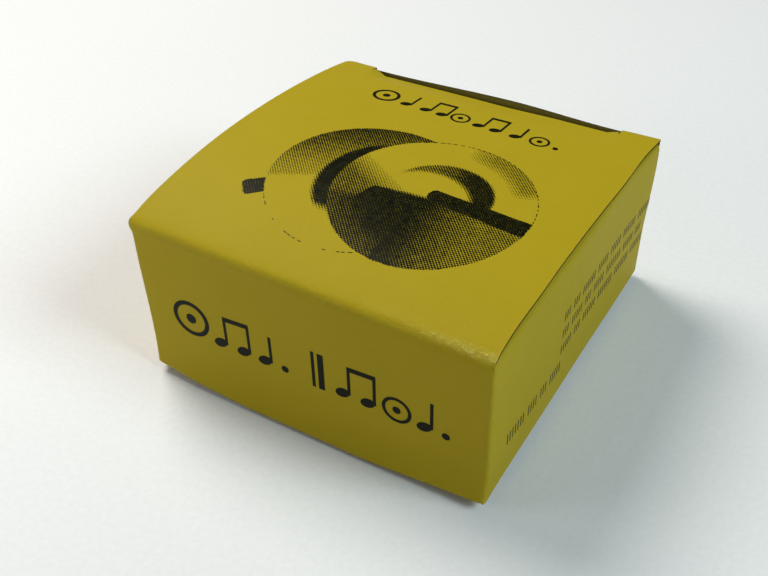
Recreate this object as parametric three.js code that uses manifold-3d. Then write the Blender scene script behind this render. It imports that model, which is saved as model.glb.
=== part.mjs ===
// A pair of finger cymbals in their tuck-flap carton, in millimetres, +Z up.
//
// The carton is one sheet of card, creased into four walls, a glue flap, two closures that
// cross each other and the dust flaps under them. The lid hinges on the front wall and tucks
// in behind the back wall. The bottom hinges on the left wall and tucks in behind the right
// wall. Each panel between two creases is its own mesh, and the crease itself is the narrow
// strip left open between two of them.
// Inside, two brass cymbals lie rim to rim. Each has a flat elastic finger loop at its bell,
// held by the loop's own knotted ends inside the bell.
//
// The origin is the centre of the carton's footprint, on the surface that it stands on.
// The front wall faces -Y.
import * as THREE from "three";
import { mergeVertices } from "three/addons/utils/BufferGeometryUtils.js";
import Module from "manifold-3d";

// Carton.
const WIDTH = 70; // outside, across the front wall
const DEPTH = 71.4; // outside, front wall to back wall
const WALL_HEIGHT = 31.4; // crease to crease
const CARD = 0.5; // thickness of the card
const GAP = 0.3; // clearance kept between separate solids
const CREASE = 1; // a rigid panel stops this far short of its folded corner
const HINGE_INSET = 0.4; // a crease's axis lies this far inside both outer faces

// The packed cymbals are a little taller than the carton, so both closures bow outwards.
const BELLY = 1.4; // how far the bottom hangs below the walls' lower creases
const BELLY_FLAT = 12; // half width of its flat middle, which the carton stands on
const BELLY_POWER = 1.2;
const LID_RISE_LEFT = 5.3; // height of the lid's arch over its left and right edges
const LID_RISE_RIGHT = 3.2;
const LID_ARCH_STEEPNESS = 9; // how suddenly the arch rises behind the front crease
const LID_ARCH_FALL = 2.5; // how late the arch comes down again towards the back
const LID_ARCH_SCALE = 1.1; // brings the arch's highest point up to the rise
const LID_DIP = 1.1; // how far the lid's tuck crease sinks below the lid's shoulders
const DIP_LENGTH = 6; // the lid slopes down to the dip over this distance
const DIP_SIDE = 2.5; // and up to each shoulder over this one

// Closures.
const SIDE_SLACK = 0.3; // a closure's cut edges stop this far inside the walls' outer faces
const SHOULDER = 7.5; // length of the lock shoulders at each end of a tuck crease
const TUCK_INSET = 1.3; // a tuck crease lies this far inside the wall's outer face
const TUCK_TILT = THREE.MathUtils.degToRad(12); // a tuck flap leans in by this much
const LID_TUCK_LENGTH = 14;
const BOTTOM_TUCK_LENGTH = 12;
const TUCK_CORNER = 7; // radius of a tuck flap's free corners
const TUCK_TAPER = 0.08; // a tuck flap's sides draw in by this much per unit of length
const TUCK_START = 1.2; // a tuck flap begins this far past its folded corner
const TUCK_SIDE_GAP = 0.5; // between a tuck flap's side and the lock shoulder
const DUST_LENGTH_TOP = 26;
const DUST_LENGTH_BOTTOM = 24;
const DUST_HINGE_TAPER = 1 / 1.3; // cut back along the root per unit of length, hinge side
const DUST_TUCK_TAPER = 0.2; // the same on the tuck side
const DUST_TUCK_START = 1; // clearance to the wall at the tuck side of the root
const DUST_STEP_OUT = SHOULDER - 0.6; // this far from its root, where the tuck flap begins,
const DUST_STEP_IN = 1.4; // a dust flap steps in by this much to let the tuck flap pass
const DUST_CORNER = 4; // radius of a dust flap's free corners
const DUST_RAMP = 5; // a dust flap meets the closure's curve this far from its root
const GLUE_FLAP_WIDTH = 12;
const GLUE_FLAP_TAPER = 3; // cut off the glue flap's height at each end

// Cymbals.
const CYMBAL_RADIUS = 30;
const BRASS = 1.4; // thickness of the metal
const BOW_RISE = 2.6; // the flat bow rises this much from the rim to the bell
const BELL_RADIUS = 15;
const BELL_HEIGHT = 10; // of the bell above the bow, inside
const BELL_FULLNESS = 2.4; // exponent of the bell's curve, where 2 is an ellipse
const CORD_HOLE_RADIUS = 2.6;
const RIM_GAP = 0.3; // between the two rims

// Finger loops, of flat elastic.
const BAND_WIDTH = 6.5;
const BAND = 1; // thickness of the elastic
const STEM_RADIUS = 2.2; // the gathered ends, where they pass through the hole
const KNOT_RADIUS = 4.6;
const KNOT_HALF_HEIGHT = 2.4;
const BARREL_RADIUS = 1.2; // the loop's folded root, which it turns about
const BAND_STEPS = 36;
const PRESSED_SLOPE = 0.09; // the lower loop falls away from the bottom by this much per unit

// Derived heights and faces.
const halfWidth = WIDTH / 2;
const halfDepth = DEPTH / 2;
const wallBottom = BELLY;
const wallTop = BELLY + WALL_HEIGHT;
const bellTop = BOW_RISE + BELL_HEIGHT + BRASS; // above the rim plane
const stemTop = bellTop + 0.1; // the stem stands a little out of its hole
const loopTop = stemTop + GAP + 2 * BARREL_RADIUS; // the same
const midHeight = CARD + GAP + loopTop + RIM_GAP / 2; // where the two rims meet

const wasm = await Module();
wasm.setup();

const part = new THREE.Group();

const cardMaterial = new THREE.MeshStandardMaterial({
  color: 0xb09c2c,
  roughness: 0.45,
  metalness: 0,
});
const brassMaterial = new THREE.MeshStandardMaterial({
  color: 0xc9a24a,
  roughness: 0.3,
  metalness: 1,
});
const elasticMaterial = new THREE.MeshStandardMaterial({
  color: 0x16161a,
  roughness: 0.85,
  metalness: 0,
});

function addPart(name, geometry, material) {
  const mesh = new THREE.Mesh(geometry, material);
  mesh.name = name;
  part.add(mesh);
  return mesh;
}

const smooth = (t) => THREE.MathUtils.smoothstep(t, 0, 1);

// n + 1 evenly spaced numbers from a to b, or none if n is negative.
function stops(a, b, n) {
  return Array.from({ length: n + 1 }, (_, i) => a + ((b - a) * i) / Math.max(n, 1));
}

// A closed card panel. outer(u, v) is a point on its outer face, and the card's thickness is
// laid off towards side, the direction of its inner face.
function cardPanel(name, us, vs, outer, side) {
  const across = us.length;
  const points = [];
  const step = 1e-3;
  for (const v of vs) {
    for (const u of us) {
      points.push(outer(u, v));
    }
  }
  const outerCount = points.length;
  for (const v of vs) {
    for (const u of us) {
      const here = outer(u, v);
      const alongU = outer(u + step, v).sub(here);
      const alongV = outer(u, v + step).sub(here);
      const normal = alongU.cross(alongV).normalize();
      if (normal.dot(side) < 0) {
        normal.negate();
      }
      points.push(here.addScaledVector(normal, CARD));
    }
  }
  const triangles = [];
  const quad = (a, b, c, d) => triangles.push(a, b, c, a, c, d);
  const at = (i, j) => j * across + i;
  for (let j = 0; j + 1 < vs.length; j++) {
    for (let i = 0; i + 1 < across; i++) {
      const corners = [at(i, j), at(i + 1, j), at(i + 1, j + 1), at(i, j + 1)];
      const inner = corners.map((k) => k + outerCount).reverse();
      quad(...corners);
      quad(...inner);
    }
  }
  const lastI = across - 1;
  const lastJ = vs.length - 1;
  const rim = [
    ...stops(0, lastI, lastI).map((i) => at(i, 0)),
    ...stops(1, lastJ, lastJ - 1).map((j) => at(lastI, j)),
    ...stops(lastI - 1, 0, lastI - 1).map((i) => at(i, lastJ)),
    ...stops(lastJ - 1, 1, lastJ - 2).map((j) => at(0, j)),
  ];
  rim.forEach((a, k) => {
    const b = rim[(k + 1) % rim.length];
    quad(b, a, a + outerCount, b + outerCount);
  });
  const geometry = new THREE.BufferGeometry().setFromPoints(points);
  geometry.setIndex(triangles);
  if (signedVolume(geometry) < 0) {
    geometry.setIndex(triangles.reverse());
  }
  geometry.computeVertexNormals();
  return addPart(name, geometry, cardMaterial);
}

function signedVolume(geometry) {
  const [a, b, c] = [new THREE.Vector3(), new THREE.Vector3(), new THREE.Vector3()];
  const position = geometry.getAttribute("position");
  let sum = 0;
  for (let i = 0; i < geometry.index.count; i += 3) {
    a.fromBufferAttribute(position, geometry.index.getX(i));
    b.fromBufferAttribute(position, geometry.index.getX(i + 1));
    c.fromBufferAttribute(position, geometry.index.getX(i + 2));
    sum += a.dot(b.cross(c));
  }
  return sum;
}

// A flat rectangular wall between two opposite corners of its outer face.
function flatWall(name, low, high, side) {
  const upright = (u, v) =>
    new THREE.Vector3(
      THREE.MathUtils.lerp(low[0], high[0], u),
      THREE.MathUtils.lerp(low[1], high[1], u),
      THREE.MathUtils.lerp(low[2], high[2], v),
    );
  return cardPanel(name, [0, 1], [0, 1], upright, new THREE.Vector3(...side));
}

// ---- Shapes of the two bowed closures -------------------------------------------------

// Height of the lid's outer face. The arch is steep at the front crease and flattens back.
function lidHeight(x, y) {
  const along = THREE.MathUtils.clamp((y + halfDepth) / DEPTH, 0, 1);
  const rise = THREE.MathUtils.mapLinear(
    x, -halfWidth, halfWidth, LID_RISE_LEFT, LID_RISE_RIGHT,
  );
  const front = 1 - (1 - along) ** LID_ARCH_STEEPNESS;
  const back = 1 - along ** LID_ARCH_FALL;
  const nearTuck = smooth((y - (halfDepth - TUCK_INSET - DIP_LENGTH)) / DIP_LENGTH);
  const dipEnd = halfWidth - SHOULDER - 0.5;
  const betweenShoulders = 1 - smooth((Math.abs(x) - (dipEnd - DIP_SIDE)) / DIP_SIDE);
  return wallTop + rise * LID_ARCH_SCALE * front * back - LID_DIP * nearTuck * betweenShoulders;
}

// Height of the bottom's outer face, flat in the middle and rising to both side walls.
function bottomHeight(x) {
  const t = Math.max(0, (Math.abs(x) - BELLY_FLAT) / (halfWidth - BELLY_FLAT));
  return BELLY * t ** BELLY_POWER;
}

// ---- Carton ----------------------------------------------------------------------------

function makeWalls() {
  const x = halfWidth;
  const y = halfDepth;
  const inset = CARD + GAP;
  const low = wallBottom + CREASE;
  const high = wallTop - CREASE;
  flatWall("front_wall", [-x + inset, -y, low], [x - inset, -y, high], [0, 1, 0]);
  flatWall("back_wall", [-x + inset, y, low], [x - inset, y, wallTop - CARD - GAP], [0, -1, 0]);
  flatWall("left_wall", [-x, -y, low], [-x, y, high], [1, 0, 0]);
  flatWall("right_wall", [x, -y, wallBottom + CARD + GAP], [x, y, high], [-1, 0, 0]);
}

// The glue flap folds round from the front wall and lies inside the left wall.
function makeGlueFlap() {
  const x = -halfWidth + CARD + GAP;
  const start = -halfDepth + CARD + GAP;
  const outline = (u, v) => {
    const low = wallBottom + CREASE + CARD + GLUE_FLAP_TAPER * u;
    const high = wallTop - CREASE - CARD - GLUE_FLAP_TAPER * u;
    return new THREE.Vector3(x, start + GLUE_FLAP_WIDTH * u, THREE.MathUtils.lerp(low, high, v));
  };
  cardPanel("glue_flap", [0, 1], [0, 1], outline, new THREE.Vector3(1, 0, 0));
}

// Positions across a closure, with a close pair where each lock shoulder begins.
function closureStops(half) {
  const edge = half - SIDE_SLACK;
  const shoulder = half - SHOULDER;
  const close = 0.1;
  const inner = stops(close - shoulder, shoulder - close, 12);
  const outer = [shoulder + close, shoulder + SHOULDER * 0.4, edge];
  return [...outer.map((x) => -x).reverse(), ...inner, ...outer];
}

// The lid runs from the front crease to its tuck crease, and its shoulders run on to the
// back wall's outer face.
function makeLid() {
  const start = -halfDepth + CREASE;
  const outer = (x, v) => {
    const isShoulder = Math.abs(x) > halfWidth - SHOULDER;
    const end = halfDepth - (isShoulder ? 0 : TUCK_INSET);
    const y = THREE.MathUtils.lerp(start, end, v);
    return new THREE.Vector3(x, y, lidHeight(x, y));
  };
  const rows = [0, 0.03, 0.07, 0.12, 0.2, ...stops(0.3, 0.9, 6), 0.93, 0.96, 1];
  cardPanel("lid_panel", closureStops(halfWidth), rows, outer, new THREE.Vector3(0, 0, -1));
}

// A tuck flap: a plate with two rounded corners. place(across, down) puts a point of it.
function makeTuckFlap(name, halfRoot, length, place, side) {
  const arc = stops(0, Math.PI / 2, 5).map((a) => length - TUCK_CORNER * (1 - Math.sin(a)));
  const outer = (u, down) => {
    const past = Math.max(0, down - (length - TUCK_CORNER)) / TUCK_CORNER;
    const cut = TUCK_CORNER * (1 - Math.sqrt(Math.max(0, 1 - past * past)));
    return place(u * (halfRoot - TUCK_TAPER * down - cut), down);
  };
  cardPanel(name, [-1, 0, 1], [0, ...arc], outer, side);
}

function makeTuckFlaps() {
  const lean = Math.sin(TUCK_TILT);
  const drop = Math.cos(TUCK_TILT);
  const lidFace = halfDepth - TUCK_INSET + CARD;
  const lidRoot = wallTop - LID_DIP - TUCK_START;
  makeTuckFlap(
    "lid_tuck_flap", halfWidth - SHOULDER - TUCK_SIDE_GAP, LID_TUCK_LENGTH,
    (across, down) => new THREE.Vector3(across, lidFace - lean * down, lidRoot - drop * down),
    new THREE.Vector3(0, -1, 0),
  );
  const bottomFace = halfWidth - TUCK_INSET + CARD;
  const bottomRoot = wallBottom + TUCK_START;
  makeTuckFlap(
    "bottom_tuck_flap", halfDepth - SHOULDER - TUCK_SIDE_GAP, BOTTOM_TUCK_LENGTH,
    (across, up) => new THREE.Vector3(bottomFace - lean * up, across, bottomRoot + drop * up),
    new THREE.Vector3(-1, 0, 0),
  );
}

// How far a dust flap runs along its root, at a distance out from the root. Both closures'
// hinges are at the low end of the root, and their tuck creases at the high end.
function dustSpan(half, out, length) {
  const pastStep = Math.max(0, out - DUST_STEP_OUT);
  const stepIn = pastStep > 0 ? DUST_STEP_IN : 0;
  const low = CREASE - half + out * DUST_HINGE_TAPER;
  const high = half - DUST_TUCK_START - stepIn - pastStep * DUST_TUCK_TAPER;
  const corner = Math.max(0, out - (length - DUST_CORNER)) / DUST_CORNER;
  const cut = DUST_CORNER * (1 - Math.sqrt(Math.max(0, 1 - corner * corner)));
  return [low + 0.3 * cut, high - cut];
}

function makeDustFlap(name, half, length, place, side) {
  const close = 0.1;
  const root = [0, 1.5, 3, DUST_RAMP, DUST_STEP_OUT - close, DUST_STEP_OUT + close, 12, 17];
  const tip = stops(0, Math.PI / 2, 3).map((a) => length - DUST_CORNER * (1 - Math.sin(a)));
  const outer = (u, out) => {
    const [low, high] = dustSpan(half, out, length);
    return place(THREE.MathUtils.lerp(low, high, u), out);
  };
  cardPanel(name, stops(0, 1, 10), [...root, ...tip], outer, side);
}

function makeDustFlaps() {
  for (const [name, sign] of [["left", -1], ["right", 1]]) {
    makeDustFlap(
      `top_dust_flap_${name}`, halfDepth, DUST_LENGTH_TOP,
      (y, out) => {
        const x = sign * (halfWidth - CREASE - out);
        const flat = wallTop - CARD - GAP;
        const follow = smooth(out / DUST_RAMP);
        return new THREE.Vector3(x, y, flat + follow * (lidHeight(x, y) - wallTop));
      },
      new THREE.Vector3(0, 0, -1),
    );
  }
  for (const [name, sign] of [["front", -1], ["back", 1]]) {
    makeDustFlap(
      `bottom_dust_flap_${name}`, halfWidth, DUST_LENGTH_BOTTOM,
      (x, out) => {
        const y = sign * (halfDepth - CREASE - out);
        const flat = wallBottom + CARD + GAP;
        const follow = smooth(out / DUST_RAMP);
        return new THREE.Vector3(x, y, flat + follow * (bottomHeight(x) - wallBottom));
      },
      new THREE.Vector3(0, 0, 1),
    );
  }
}

// The bottom runs from its crease on the left wall to its tuck crease at the right wall.
function makeBottom() {
  const start = -halfWidth + CREASE;
  const outer = (v, y) => {
    const isShoulder = Math.abs(y) > halfDepth - SHOULDER;
    const end = halfWidth - (isShoulder ? 0 : TUCK_INSET);
    const x = THREE.MathUtils.lerp(start, end, v);
    return new THREE.Vector3(x, y, bottomHeight(x));
  };
  const bend = (x) => (x - start) / (halfWidth - start);
  const columns = [
    0, bend(-28), bend(-20), bend(-BELLY_FLAT), bend(0), bend(BELLY_FLAT), bend(20), bend(28), 1,
  ];
  cardPanel("bottom_panel", columns, closureStops(halfDepth), outer, new THREE.Vector3(0, 0, 1));
}

// ---- Cymbals ---------------------------------------------------------------------------

// Height of the metal's inner face above the rim plane, at a radius.
function innerHeight(r) {
  const alongBow = (CYMBAL_RADIUS - r) / (CYMBAL_RADIUS - BELL_RADIUS);
  const bell = BELL_HEIGHT * Math.sqrt(Math.max(0, 1 - (r / BELL_RADIUS) ** BELL_FULLNESS));
  return BOW_RISE * THREE.MathUtils.clamp(alongBow, 0, 1) + bell;
}

// The profile of one cymbal, with its rim plane at height 0 and its bell upwards.
function cymbalProfile() {
  const radii = [
    CORD_HOLE_RADIUS, 5, 7.5, 9.8, 11.6, 13, 14, 14.7, 15.6, 18, 22, 26, CYMBAL_RADIUS,
  ];
  const inner = radii.map((r) => new THREE.Vector2(r, innerHeight(r)));
  const outer = inner.map((p, i) => {
    const before = inner[Math.max(0, i - 1)];
    const after = inner[Math.min(inner.length - 1, i + 1)];
    const along = after.clone().sub(before).normalize();
    const end = i === 0 || i === inner.length - 1;
    const normal = end ? new THREE.Vector2(0, 1) : new THREE.Vector2(-along.y, along.x);
    return p.clone().addScaledVector(normal, BRASS);
  });
  outer[0].y = bellTop;
  return [...inner, ...outer.reverse(), inner[0].clone()];
}

// A lathe turned about +Z instead of +Y.
function turned(profile, segments) {
  return new THREE.LatheGeometry(profile, segments).rotateX(Math.PI / 2);
}

// ---- Finger loops ----------------------------------------------------------------------

// A closed mesh as a manifold-3d solid, for joining.
function solidOf(geometry) {
  const bare = new THREE.BufferGeometry().setAttribute("position", geometry.getAttribute("position"));
  if (geometry.index) {
    bare.setIndex(geometry.index);
  }
  const merged = mergeVertices(bare, 1e-4);
  return new wasm.Manifold(
    new wasm.Mesh({
      numProp: 3,
      vertProperties: merged.getAttribute("position").array,
      triVerts: new Uint32Array(merged.index.array),
    }),
  );
}

function joined(...geometries) {
  const mesh = geometries
    .map(solidOf)
    .reduce((a, b) => a.add(b))
    .getMesh();
  const geometry = new THREE.BufferGeometry();
  geometry.setAttribute("position", new THREE.BufferAttribute(mesh.vertProperties, 3));
  geometry.setIndex(new THREE.BufferAttribute(mesh.triVerts, 1));
  geometry.computeVertexNormals();
  return geometry;
}

// A finger loop: a flat band along a path in the cymbal's own upright plane, and the folded
// root that both of its ends run into. The path's points are [out from the axis, up].
function loopGeometry(path) {
  const curve = new THREE.CatmullRomCurve3(
    path.map(([out, up]) => new THREE.Vector3(0, out, up)),
    false,
    "centripetal",
  );
  const section = new THREE.Shape();
  section.moveTo(-BAND_WIDTH / 2, -BAND / 2);
  section.lineTo(BAND_WIDTH / 2, -BAND / 2);
  section.lineTo(BAND_WIDTH / 2, BAND / 2);
  section.lineTo(-BAND_WIDTH / 2, BAND / 2);
  const band = new THREE.ExtrudeGeometry(section, {
    steps: BAND_STEPS,
    bevelEnabled: false,
    extrudePath: curve,
  });
  const barrel = new THREE.CylinderGeometry(BARREL_RADIUS, BARREL_RADIUS, BAND_WIDTH - 1, 16)
    .rotateZ(Math.PI / 2)
    .translate(0, 0, stemTop + GAP + BARREL_RADIUS);
  return joined(band, barrel);
}

// The gathered ends of the elastic, through the hole and knotted inside the bell.
function knotGeometry() {
  const knotTop = BOW_RISE + BELL_HEIGHT - GAP;
  const low = knotTop - KNOT_HALF_HEIGHT;
  const stem = new THREE.CylinderGeometry(STEM_RADIUS, STEM_RADIUS, stemTop - low, 16)
    .rotateX(Math.PI / 2)
    .translate(0, 0, (stemTop + low) / 2);
  const knot = new THREE.SphereGeometry(1, 14, 8)
    .rotateX(Math.PI / 2)
    .scale(KNOT_RADIUS, KNOT_RADIUS, KNOT_HALF_HEIGHT)
    .translate(0, 0, knotTop - KNOT_HALF_HEIGHT);
  return joined(stem, knot);
}

// Heights of the loop's two layers above the top of the bell.
const innerLayer = stemTop - bellTop + GAP + BAND / 2;
const outerLayer = innerLayer + 2 * BARREL_RADIUS - BAND;

// A point at a height above the cymbal's outer face, square to it.
function overCymbal(r, height) {
  const step = 0.01;
  const slope = (innerHeight(r + step) - innerHeight(r)) / step;
  const length = Math.hypot(1, slope);
  const rise = BRASS + height;
  return [r - (rise * slope) / length, innerHeight(r) + rise / length];
}

// Draped over the upper bell and along the bow to the rim.
function drapedLoopPath() {
  const radii = [0.3, 3, 6, 9, 11.5, 13.2, 20, 24, 27.8];
  const tip = overCymbal(28.9, (innerLayer + outerLayer) / 2);
  const inner = radii.map((r) => overCymbal(r, innerLayer));
  const outer = radii.map((r) => overCymbal(r, outerLayer)).reverse();
  return [...inner, tip, ...outer];
}

// Pressed flat between the lower bell and the bottom of the carton.
function pressedLoopPath() {
  const outs = [0.3, 3, 6, 9, 14, 20, 25, 29];
  const up = (out) => bellTop - smooth((out - 3) / 6) - PRESSED_SLOPE * Math.max(0, out - 9);
  const tip = [30.2, up(30.2) + (innerLayer + outerLayer) / 2];
  const inner = outs.map((out) => [out, up(out) + innerLayer]);
  const outer = outs.map((out) => [out, up(out) + outerLayer]).reverse();
  return [...inner, tip, ...outer];
}

// Each cymbal's three pieces are made with the bell up and the loop towards +Y, then set in
// place together.
function makeCymbal(which, loopPath, place) {
  const pieces = [
    addPart(`${which}_cymbal`, turned(cymbalProfile(), 40), brassMaterial),
    addPart(`${which}_strap_knot`, knotGeometry(), elasticMaterial),
    addPart(`${which}_finger_loop`, loopGeometry(loopPath), elasticMaterial),
  ];
  pieces.forEach((piece) => place(piece));
}

makeWalls();
makeGlueFlap();
makeLid();
makeBottom();
makeTuckFlaps();
makeDustFlaps();
makeCymbal("upper", drapedLoopPath(), (piece) => {
  piece.position.z = midHeight + RIM_GAP / 2;
});
makeCymbal("lower", pressedLoopPath(), (piece) => {
  piece.rotation.x = Math.PI;
  piece.position.z = midHeight - RIM_GAP / 2;
});

export default part;
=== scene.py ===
"""A closed folding carton of printed yellow card, with a pair of brass finger cymbals inside.

The card pieces are laid out on the carton's flat die-cut blank, in millimetres: u runs round
the four walls from the front wall's left edge, and v runs up from the walls' lower creases.
A surface function folds a place on the blank into the row frame, so that neighbouring pieces
meet without a step, and one print and one grain run on across their joins.
"""

import math

import bpy
import numpy as np
from mathutils import Matrix, Vector


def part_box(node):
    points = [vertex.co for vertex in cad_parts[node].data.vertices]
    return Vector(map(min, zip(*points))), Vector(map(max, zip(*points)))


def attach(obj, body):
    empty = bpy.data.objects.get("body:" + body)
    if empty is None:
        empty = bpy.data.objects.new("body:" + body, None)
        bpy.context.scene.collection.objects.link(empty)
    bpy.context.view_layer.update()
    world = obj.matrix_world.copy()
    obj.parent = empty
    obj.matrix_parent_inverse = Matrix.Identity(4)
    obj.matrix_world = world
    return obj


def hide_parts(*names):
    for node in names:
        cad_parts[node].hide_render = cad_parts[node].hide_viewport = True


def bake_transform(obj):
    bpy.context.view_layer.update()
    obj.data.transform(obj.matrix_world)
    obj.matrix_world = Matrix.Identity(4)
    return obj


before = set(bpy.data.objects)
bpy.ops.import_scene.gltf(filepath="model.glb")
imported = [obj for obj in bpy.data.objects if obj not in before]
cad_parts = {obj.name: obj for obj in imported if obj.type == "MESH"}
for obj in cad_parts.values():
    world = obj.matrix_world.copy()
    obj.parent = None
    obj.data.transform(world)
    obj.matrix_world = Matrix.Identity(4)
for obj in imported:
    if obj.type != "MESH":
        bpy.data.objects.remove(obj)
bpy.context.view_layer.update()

# ---- Sizes, in millimetres ----

MM = 0.001


def node_box(node):
    """Lowest and highest corner of a CAD node, in millimetres."""
    low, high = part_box(node)
    return np.array(low) / MM, np.array(high) / MM


CREASE = 1.0  # the CAD panels stop this far short of each folded corner
HALF_WIDTH = node_box("right_wall")[1][0]
HALF_DEPTH = node_box("back_wall")[1][1]
LOW = node_box("left_wall")[0][2] - CREASE  # the walls' lower creases
HIGH = node_box("left_wall")[1][2] + CREASE  # the walls' upper creases
WALL = HIGH - LOW
WIDTH = 2 * HALF_WIDTH
DEPTH = 2 * HALF_DEPTH

CARD = 0.45  # thickness of the card
PLY_GAP = 0.2  # air between two layers of card
FOLD = 1.6  # a dust flap's crease bends the card within this distance
LID_FOLD = (0.6, 1.8)  # the same for the lid's crease at its left and right ends,
FOOT_FOLD = 1.0  # the lower creases,
CORNER_FOLD = 1.3  # the upright ones,
TUCK_FOLD = 0.8  # and the tuck flaps'
STRIP = 2.4  # a closure's piece starts this far down its wall
SEAM_BACK = 1.5  # a tuck flap's piece starts this far before its crease

# Walls on the blank.
FRONT = 0.0
RIGHT = FRONT + WIDTH
BACK = RIGHT + DEPTH
LEFT = BACK + WIDTH
RING_END = LEFT + DEPTH
LEFT_EDGE = RING_END - 1.2  # the left wall's cut edge, just behind the front left corner
GLUE_FLAP = 12.0
GLUE_TAPER = 0.2
GLUE_STEP = CARD + 0.1  # the flap lies this far inside the left wall's outer face
FOOT_EDGE = CARD + 0.1  # height of the right wall's free lower edge on the blank

# Closures.
SIDE_SLACK = 0.3  # the lid's cut edges are this far inside the walls' outer faces
FOOT_SLACK = 1.0  # and the bottom's
SHOULDER = 7.5
SHOULDER_GAP = 0.3  # a shoulder ends this far inside the wall's outer face
LID_CORNER = 1.6  # radius of the lid's rounded back left corner
SLIT = 0.15
TUCK_INSET = 0.8  # from a wall's outer face to the tuck flap's outer face
TUCK_LEAN = math.radians(12)
TUCK_TAPER = 0.08
TUCK_CORNER = 7.0
LID_TUCK = 15.2
BOTTOM_TUCK = 13.2
DUST_TOP = 27.0
DUST_BOTTOM = 25.0
DUST_HINGE_TAPER = 0.77
DUST_TUCK_TAPER = 0.2
DUST_STEP_AT = 7.9
DUST_STEP = 1.4
DUST_CORNER = 4.0
DUST_CLEAR = 0.9  # a dust flap's ends keep this far from the walls beside it
LID_REACH = DEPTH - TUCK_INSET  # from the lid's crease to its tuck crease
BOTTOM_REACH = WIDTH - TUCK_INSET

BOTTOM_FLAT = 12.0  # half width of the bottom's flat middle

# The closed lid's shape. A pair is for its left and its right end.
LID_ARCH = (4.6, 3.6)
ARCH_FALL = (3.8, 2.3)  # the larger, the later the arch falls towards the back
FRONT_ROLL = (1.5, 0.2)  # its rise just past the front crease
BACK_DIP = (1.2, 0.45)  # how far it is pressed in between the shoulders
DIP_START = HALF_DEPTH - 7.3
BACK_LIFT = 0.6  # its rise at the back right corner
LEFT_EAR = 0.6  # the front crease's left end stands out this far
RIGHT_OVERHANG = 0.55  # and the right edge hangs this far over, but for its ends

# How far the used carton has gone out of true.
FOOT_SPLAY = (0.7, 2.0)  # the front wall's foot outwards, at its left corner and past it
FOOT_DROP = 0.6  # the same corner downwards
FOOT_LIFT = 0.8  # the right wall's foot upwards, near the front
CORNER_OUT = 0.7  # the front left and back right upper corners sideways
CORNER_BACK = 0.3  # and the second of them backwards

CREASE_WEAR = 0.55  # how worn an ordinary crease is

# Cymbals and their elastic, as in the CAD.
RIM_RADIUS = node_box("upper_cymbal")[1][0]
BRASS = 1.4
BOW_RISE = 2.6
BELL_RADIUS = 15.0
BELL_HEIGHT = 10.0
BELL_FULLNESS = 2.4
HOLE = 2.6
UPPER_RIM = node_box("upper_cymbal")[0][2]
LOWER_RIM = node_box("lower_cymbal")[1][2]
BELL_TOP = BOW_RISE + BELL_HEIGHT + BRASS
BAND_WIDTH = 6.5
BAND = 1.0
INNER_LAYER = 0.9  # heights of the loop's two layers over the metal
OUTER_LAYER = 2.3


def mix(a, b, t):
    return a + (b - a) * t


def smooth(t):
    t = np.clip(t, 0.0, 1.0)
    return t * t * (3.0 - 2.0 * t)


def near(distance, reach):
    """1 at no distance, and fading to nothing at about twice the reach."""
    return np.exp(-((distance / reach) ** 2))


def turn(t, reach):
    """How far past a crease the card has got: 0 before it, t after it, and a bend between."""
    bend = (t + reach) ** 2 / (4.0 * reach)
    return np.where(t > reach, t, np.where(t < -reach, 0.0, bend))


def stations(*knots, fine=0.25, coarse=1.5, short=5.0):
    """Positions through all the knots, close together where two knots are close."""
    runs = []
    for a, b in zip(knots, knots[1:]):
        step = fine if b - a < short else coarse
        runs.append(np.linspace(a, b, max(1, round((b - a) / step)), endpoint=False))
    return np.concatenate([*runs, [knots[-1]]])


# ---- The card's shape ----


def lid_height(x, y):
    """Height of the lid's outer face. It bulges, most of all on the left, rolls over its front
    crease, is pressed in between its shoulders, and lifts at its back right corner."""
    along = np.clip((y + HALF_DEPTH) / DEPTH, 0.0, 1.0)
    across = np.clip((x + HALF_WIDTH) / WIDTH, 0.0, 1.0)
    arch = mix(*LID_ARCH, across) * (1 - (1 - along) ** 7) * (1 - along ** mix(*ARCH_FALL, across))
    roll = mix(*FRONT_ROLL, across) * (1 - np.exp(-(y + HALF_DEPTH) / 0.45)) * (1 - along)
    dip_end = HALF_WIDTH - SHOULDER - 0.3
    between_shoulders = 1 - smooth((np.abs(x) - (dip_end - 2.2)) / 2.2)
    deepest = mix(*BACK_DIP, across) - 0.35 * smooth((x - 2.0) / 14.0)
    dip = deepest * smooth((y - DIP_START) / 6.0) * between_shoulders
    lift = BACK_LIFT * smooth((x - 15.0) / 15.0) * smooth((y - 20.0) / 12.0)
    return HIGH + arch + roll - dip + lift * (1 - between_shoulders)


def bottom_height(x):
    """Height of the bottom's outer face: flat in the middle, and up to both side walls."""
    out = np.maximum(0.0, (np.abs(x) - BOTTOM_FLAT) / (HALF_WIDTH - BOTTOM_FLAT))
    return LOW * out**1.2


def back_wall_top(x):
    """Height of the back wall's cut upper edge, which is highest right of the middle."""
    free = HIGH - 0.7 + 1.2 * smooth((x + 26.0) / 34.0) - 0.35 * smooth((x - 6.0) / 18.0)
    under_shoulder = lid_height(x, HALF_DEPTH) - CARD - PLY_GAP
    return mix(free, under_shoulder, smooth((np.abs(x) - (HALF_WIDTH - SHOULDER)) / SLIT))


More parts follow.
